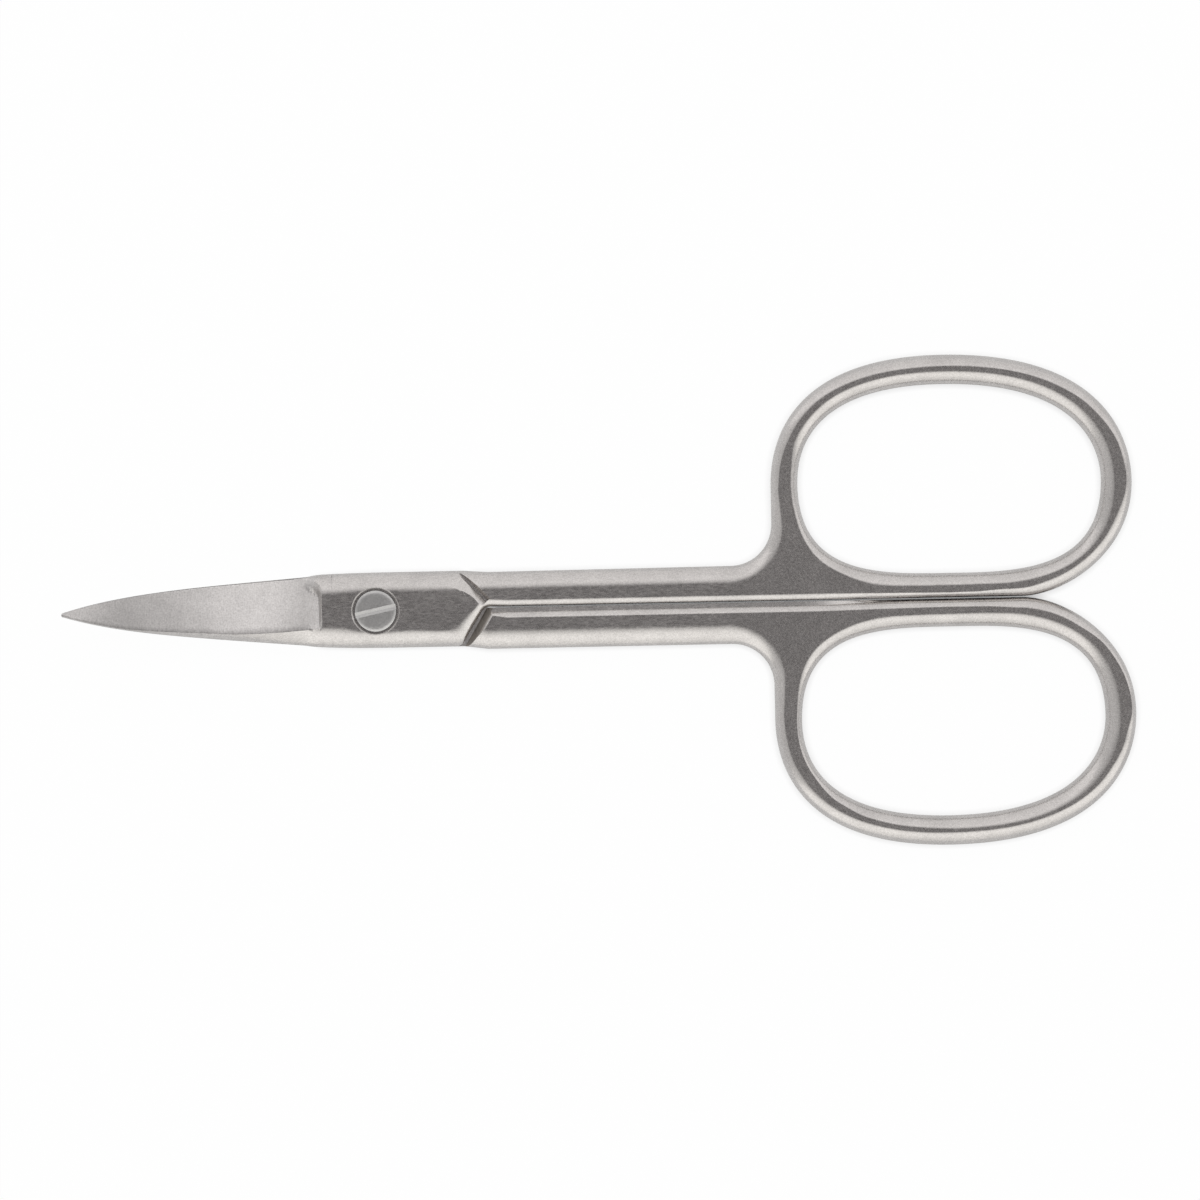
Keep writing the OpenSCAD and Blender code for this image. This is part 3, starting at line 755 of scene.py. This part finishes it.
# the groove along the lap's pointed end, with a rounded lip on the lap's side
def cutGroove(body):
    f = forging
    start, end = Vector(f["grooveStart"]), Vector(f["grooveEnd"])
    top, floor, over = f["thick"], f["thick"] - f["grooveDepth"], f["thick"] + f["cutOver"] / 2
    sections = []
    for along, lip in f["lips"]:
        section = [(lip, over)]
        section += [(mix(lip, f["grooveLeft"], t), top - f["lipDrop"] * t ** f["lipPower"])
                    for t in f["lipSteps"]]
        section += [(u, floor) for u in f["grooveFloor"]]
        section += [(-f["grooveRight"], top), (-f["grooveRight"], over)]
        sections.append((along, section))
    cutWith(body, buildCutter("groove", start, (end - start).normalized(), sections))


# mm: the blade's sections from the lap to the tip; shares are of the way to the tip
bladeShape = {
    "length": 21.25, "rootHalf": 2.95, "rootThick": 1.2, "tipThick": 0.32, "tipRound": 0.2,
    "inset": 0.1, "insetReach": 0.11, "taperShare": 0.62, "taperPower": 4.6,
    "curveRadius": 75, "curveStart": 4.6, "clear": 0.04, "hollow": 0.06,
    "backRound": 1.5, "backHeight": 0.12, "backMix": 0.45, "creaseFlat": 0.1,
    "backShares": ((0, 1), (0.05, 0.88), (0.14, 0.68), (0.24, 0.5), (0.33, 0.38), (0.48, 0.3), (0.62, 0.2),
                   (0.76, 0.1), (1, 0.1)),
    # the closed tips point a little off the pivot
    "leans": ((0, 0.08), (0.25, 0.12), (0.48, 0.16), (1, 0.18)),
    "tipThinning": 0.4, "tipTurn": 84, "edgeFace": 0.08, "edgeBulge": 0.25,
    "joinX": -3.6, "lapStations": (-3.62, -4.0, -4.4), "shoulderStart": -4.5, "shoulderEnd": -6.15,
    "facetStep": 0.3, "facetFade": 1.3, "fadeY": 1.3,
    "shoulderStations": 32, "stations": 60, "tipStations": 8, "flatSteps": 6, "innerSteps": 12,
    "halvings": 30,
}


# half the lap's width at x, found by halving the stretch of its curve that holds x
def lapHalfAt(x, side, edges):
    low, high = 0.0, 1.0
    for _ in range(bladeShape["halvings"]):
        t = (low + high) / 2
        if lapCurve(1, t, edges).x < x:
            low = t
        else:
            high = t
    return abs(lapCurve(side, t, edges).y)


# the step down to the facet is longer over the lap's rounded edge
def facetStep(y):
    b = bladeShape
    return b["facetStep"] + b["facetFade"] * ease((y - b["fadeY"]) / b["fadeY"])


# shares of the way from the cutting edge to the crease, as the lap's own points lie
def facetShares(edges):
    steps, x, flatSteps = forging["edgeSteps"], bladeShape["joinX"], bladeShape["flatSteps"]
    width = lapEdge(1, x)[0]
    whole = lapHalfAt(x, 1, edges) + lapHalfAt(x, -1, edges) - lapEdge(-1, x)[0]
    flat = whole - width
    shares = [edgeStep(k)[0] * width / whole for k in range(steps + 1)]
    return shares + [(width + flat * i / flatSteps) / whole for i in range(1, flatSteps + 1)]


# round the lap: its upper edge, flat, lower edge and inner face
def lapSection(x, edges):
    f, flatSteps, innerSteps = forging, bladeShape["flatSteps"], bladeShape["innerSteps"]
    half, low = lapHalfAt(x, 1, edges), lapHalfAt(x, -1, edges)
    top, base, steps = f["thick"], f["thick"] / 2 + f["lapClear"], f["edgeSteps"]
    (wide, deep), (wideBack, deepBack) = lapEdge(1, x), lapEdge(-1, x)
    section = [(half, base)]
    for k in range(steps + 1):
        inward, rise = edgeStep(k)
        section.append((half - wide * inward, top - deep * (1 - rise)))
    for i in range(1, flatSteps + 1):
        section.append((mix(half - wide, wideBack - low, i / flatSteps), top))
    section[-1] = (section[-1][0] + bladeShape["creaseFlat"], top)
    section.append((wideBack - low, top))
    for k in range(steps - 1, -1, -1):
        inward, rise = edgeStep(k)
        section.append((wideBack * inward - low, top - deepBack * (1 - rise)))
    section.append((-low, base))
    return section + [(mix(-low, half, i / innerSteps), base) for i in range(1, innerSteps)]


def bladeHalf(s):
    b = bladeShape
    shape = 1 - b["taperShare"] * max(0, s) - (1 - b["taperShare"]) * max(0, s) ** b["taperPower"]
    return mix(b["tipRound"], b["rootHalf"], shape)


# the same points round a blade: its facet, rounded back and hollow inner face
def bladeSection(x, s, narrow, bend, edges):
    b, steps = bladeShape, forging["edgeSteps"]
    w = bladeHalf(s) * narrow
    t = mix(b["rootThick"], b["tipThick"], s) * (1 - b["tipThinning"] * (1 - narrow))
    e = w - b["inset"] * narrow * (1 - s) * ease(s / b["insetReach"])
    hollow = b["hollow"] * math.sin(math.pi * min(1, max(0, s)))
    r = b["backRound"] * readTable(b["backShares"], s) * narrow
    f, low = b["edgeFace"] * narrow, t * b["backHeight"]
    crease = min(b["creaseFlat"], r) * narrow / 2
    section = [(e, 0)]
    for u in facetShares(edges):
        section.append((mix(e - f, r - w + crease, u),
                        mix(f, t, u) + b["edgeBulge"] * f * math.sin(math.pi * u)))
    section.append((r - w - crease, t))
    for k in range(steps - 1, -1, -1):
        inward, rise = edgeStep(k)
        # partly ground flat, partly rounded, so the crease with the facet stays crisp
        section.append(((r - crease) * inward - w, mix(low, t, mix(inward, rise, b["backMix"]))))
    section.append((-w, 0))
    for i in range(1, b["innerSteps"]):
        u = i / b["innerSteps"]
        section.append((mix(-w, e, u), hollow * math.sin(math.pi * u)))
    base = forging["thick"] / 2 + b["clear"]
    lean = edges["lean"] * readTable(b["leans"], s)
    arc = bend / (2 * b["curveRadius"])
    return [(y + lean, base + z + arc * max(0, math.hypot(x, y) - b["curveStart"]) ** 2) for y, z in section]


def buildBlade(name, bend, edges):
    b = bladeShape
    run, lap, tipTurn = b["length"] - b["tipRound"], forging["lapReach"], math.radians(b["tipTurn"])
    loops = []

    def addLoop(x, section):
        loops.append([Vector((x, y, z)) * mm for y, z in section])

    def station(x):
        return (-lap - x) / run

    for x in b["lapStations"]:
        addLoop(x, lapSection(x, edges))
    for i in range(b["shoulderStations"] + 1):
        t = i / b["shoulderStations"]
        x = mix(b["shoulderStart"], b["shoulderEnd"], t)
        lapPart = lapSection(max(x, -lap + 0.001), edges)
        bladePart = bladeSection(x, station(x), 1, bend, edges)
        # the step down to the facet is short, the rounded back runs on longer
        slow = ease(t)
        crease = lapPart[forging["edgeSteps"] + b["flatSteps"] + 1][0]
        loop = []
        for p, q in zip(lapPart, bladePart):
            quick = ease((b["shoulderStart"] - x) / facetStep(p[0]))
            g = mix(quick, slow, ease((crease - p[0]) / b["facetStep"]))
            loop.append((mix(p[0], q[0], g), mix(p[1], q[1], g)))
        addLoop(x, loop)
    first = station(b["shoulderEnd"])
    for i in range(1, b["stations"] + 1):
        s = mix(first, 1, i / b["stations"])
        addLoop(-lap - run * s, bladeSection(-lap - run * s, s, 1, bend, edges))
    for i in range(1, b["tipStations"] + 1):
        a = tipTurn * i / b["tipStations"]
        x = -lap - run - b["tipRound"] * math.sin(a) / math.sin(tipTurn)
        addLoop(x, bladeSection(x, 1, math.cos(a), bend, edges))
    blade = extrudeLoops(name, loops)
    capRims(blade, lambda c: c.x < b["shoulderEnd"])
    return blade


# the lap is cut square beside the screw and the blade's first section is bridged to it
def joinBlade(body, blade):
    joinX = bladeShape["joinX"] * mm
    editAll(body)
    bpy.ops.mesh.bisect(plane_co=(joinX, 0, 0), plane_no=(1, 0, 0), clear_inner=True, clear_outer=False)
    leaveEdit()
    join(body, blade)
    bpy.ops.object.mode_set(mode="EDIT")
    bpy.ops.mesh.select_mode(type="EDGE")
    bpy.ops.mesh.select_all(action="DESELECT")
    net = bmesh.from_edit_mesh(body.data)
    for edge in net.edges:
        if len(edge.link_faces) == 1:
            edge.select = True
    bmesh.update_edit_mesh(body.data)
    bpy.ops.mesh.bridge_edge_loops()
    bpy.ops.mesh.select_mode(type="VERT")
    bpy.ops.mesh.select_all(action="SELECT")
    bpy.ops.mesh.normals_make_consistent(inside=False)
    leaveEdit()


pivot = {
    "head": 3.5, "headThick": 0.78, "shoulder": 2.4, "thread": 1.9, "foot": 0.15, "sides": 128,
    # the head's rounding, inwards and down, in steps of headRound
    "headRound": 0.09, "headSteps": ((0, 1.6), (0.3, 0.95), (1, 0.5), (3, 0.1), (6, 0)),
    "slotWide": 0.5, "slotDeep": 0.19, "slotWall": 0.13, "slotTurn": 12,
    "recessGap": 0.17, "seatGap": 0.02, "runGap": 0.03, "threadGap": 0.01, "chamfer": 0.12,
}


def cutRound(body, low, high, lowRadius, highRadius):
    deselectAll()
    bpy.ops.mesh.primitive_cone_add(vertices=pivot["sides"], radius1=lowRadius * mm, radius2=highRadius * mm,
                                    depth=(high - low) * mm, location=(0, 0, (high + low) / 2 * mm))
    cutter = bpy.context.object
    applyPlace(cutter)
    cutWith(body, cutter)


def finishSteel(piece, names):
    piece.data.materials.clear()
    for name in names:
        piece.data.materials.append(steels[name])
    pickOnly(piece)
    bpy.ops.object.shade_smooth_by_angle(angle=smoothBelow)


def buildForgings():
    p, over = pivot, forging["cutOver"]
    thick = forging["thick"]
    recess, shoulder = p["head"] / 2 + p["recessGap"], p["shoulder"] / 2 + p["runGap"]
    thread = p["thread"] / 2 + p["threadGap"]
    halves = []
    for name, other, bend in (("front", "back", 1), ("back", "front", -1)):
        print(name + " half: handle, lap and finger ring")
        half = buildHandle(ownEdges[name])
        cutLapRoom(half, ownEdges[other]["gap"])
        cutGroove(half)
        if name == "front":
            cutRound(half, -over, thick + over, shoulder, shoulder)
            cutRound(half, thick - p["headThick"] - p["seatGap"], thick + over, recess, recess)
            cutRound(half, thick - p["chamfer"], thick + p["chamfer"], recess, recess + 2 * p["chamfer"])
        else:
            cutRound(half, -over, thick + over, thread, thread)
        print(name + " half: blade")
        joinBlade(half, buildBlade(name + "Blade", bend, ownEdges[name]))
        half.name = half.data.name = name + "Forging"
        halves.append(half)
    back = halves[1]
    pickOnly(back)
    back.rotation_euler = (math.pi, 0, 0)
    back.location = (0, 0, thick * mm)
    applyPlace(back)
    return halves


# how far up the crease between a blade's facet and back lies
def creaseAt(x):
    b = bladeShape
    s = min(1, (-forging["lapReach"] - x) / (b["length"] - b["tipRound"]))
    return b["backRound"] * readTable(b["backShares"], s) - bladeHalf(s) + readTable(b["leans"], s)


forgingSteels = ("satinSteel", "groundSteel", "shadedMatedSteel")
# what tells the ground and the mating faces: places in mm, and how far the faces look up and sideways
painting = {
    "facetShare": 0.4, "facetUp": 0.2,      # the facet's finish starts this far down its step
    "lapEnd": 9.8, "lapUp": -0.9, "lapNear": 0.12,
    "bladeStart": -5.3, "bladeUp": -0.7,
    # the shoulder that the other half's slanted edge closes on, which gets the steel with painted shade
    "shoulderX": (6, 10.5), "shoulderUp": (-0.75, -0.15), "shoulderRight": -0.3, "shoulderAside": -0.1,
}


def paintFacets(piece, side):
    b, p = bladeShape, painting
    net = bmesh.new()
    net.from_mesh(piece.data)
    for face in net.faces:
        middle = face.calc_center_median() / mm
        x, y = middle.x, middle.y * side
        right, aside, up = face.normal.x, face.normal.y * side, face.normal.z * side
        facetStart = b["shoulderStart"] - p["facetShare"] * facetStep(y)
        facet = x < facetStart and up > p["facetUp"] and y > creaseAt(x)
        lapInside = x < p["lapEnd"] and up < p["lapUp"] and abs(middle.z - forging["thick"] / 2) < p["lapNear"]
        bladeInside = x < p["bladeStart"] and up < p["bladeUp"]
        shoulder = (p["shoulderX"][0] < x < p["shoulderX"][1] and p["shoulderUp"][0] < up < p["shoulderUp"][1]
                    and right < p["shoulderRight"] and aside < p["shoulderAside"])
        ground = facet or lapInside or bladeInside
        steel = "groundSteel" if ground else "shadedMatedSteel" if shoulder else "satinSteel"
        face.material_index = forgingSteels.index(steel)
    net.to_mesh(piece.data)
    net.free()


front, back = buildForgings()
for half, side, body, node in ((front, 1, "front", "front_half"), (back, -1, "back", "back_half")):
    finishSteel(half, forgingSteels)
    paintFacets(half, side)
    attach(half, body)
    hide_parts(node)
    print(half.name, len(half.data.polygons), "faces")


def buildScrew():
    p = pivot
    thick, over, turn = forging["thick"], forging["cutOver"], math.radians(p["slotTurn"])
    head, seat, h = p["head"] / 2, thick - p["headThick"], p["headRound"]
    thread, shoulder, half = p["thread"] / 2, p["shoulder"] / 2, thick / 2
    profile = [(thread - p["foot"], p["foot"]), (thread, 2 * p["foot"]), (thread, half), (shoulder, half),
               (shoulder, seat), (head, seat)]
    profile += [(head - inwards * h, thick - down * h) for inwards, down in p["headSteps"]]
    angles = [2 * math.pi * i / p["sides"] for i in range(p["sides"])]
    loops = [[Vector((r * math.cos(a), r * math.sin(a), z)) * mm for a in angles] for r, z in profile]
    screw = extrudeLoops("slottedScrew", loops)
    pickOnly(screw)
    bpy.ops.object.mode_set(mode="EDIT")
    bpy.ops.mesh.select_all(action="DESELECT")
    bpy.ops.mesh.select_non_manifold(extend=False)
    bpy.ops.mesh.edge_face_add()
    bpy.ops.mesh.select_all(action="SELECT")
    bpy.ops.mesh.normals_make_consistent(inside=False)
    leaveEdit()
    way, side, wall = Vector((math.cos(turn), math.sin(turn))), p["slotWide"] / 2, thick - p["slotWall"]
    section = [(-side, thick + over), (-side, wall), (0, thick - p["slotDeep"]), (side, wall),
               (side, thick + over)]
    cutWith(screw, buildCutter("slot", Vector((0, 0)), way, ((-p["head"], section), (p["head"], section))))
    finishSteel(screw, ("screwSteel",))
    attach(screw, "back")
    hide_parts("pivot_screw")
    print("slottedScrew", len(screw.data.polygons), "faces")


print("pivot screw")
buildScrew()

deselectAll()
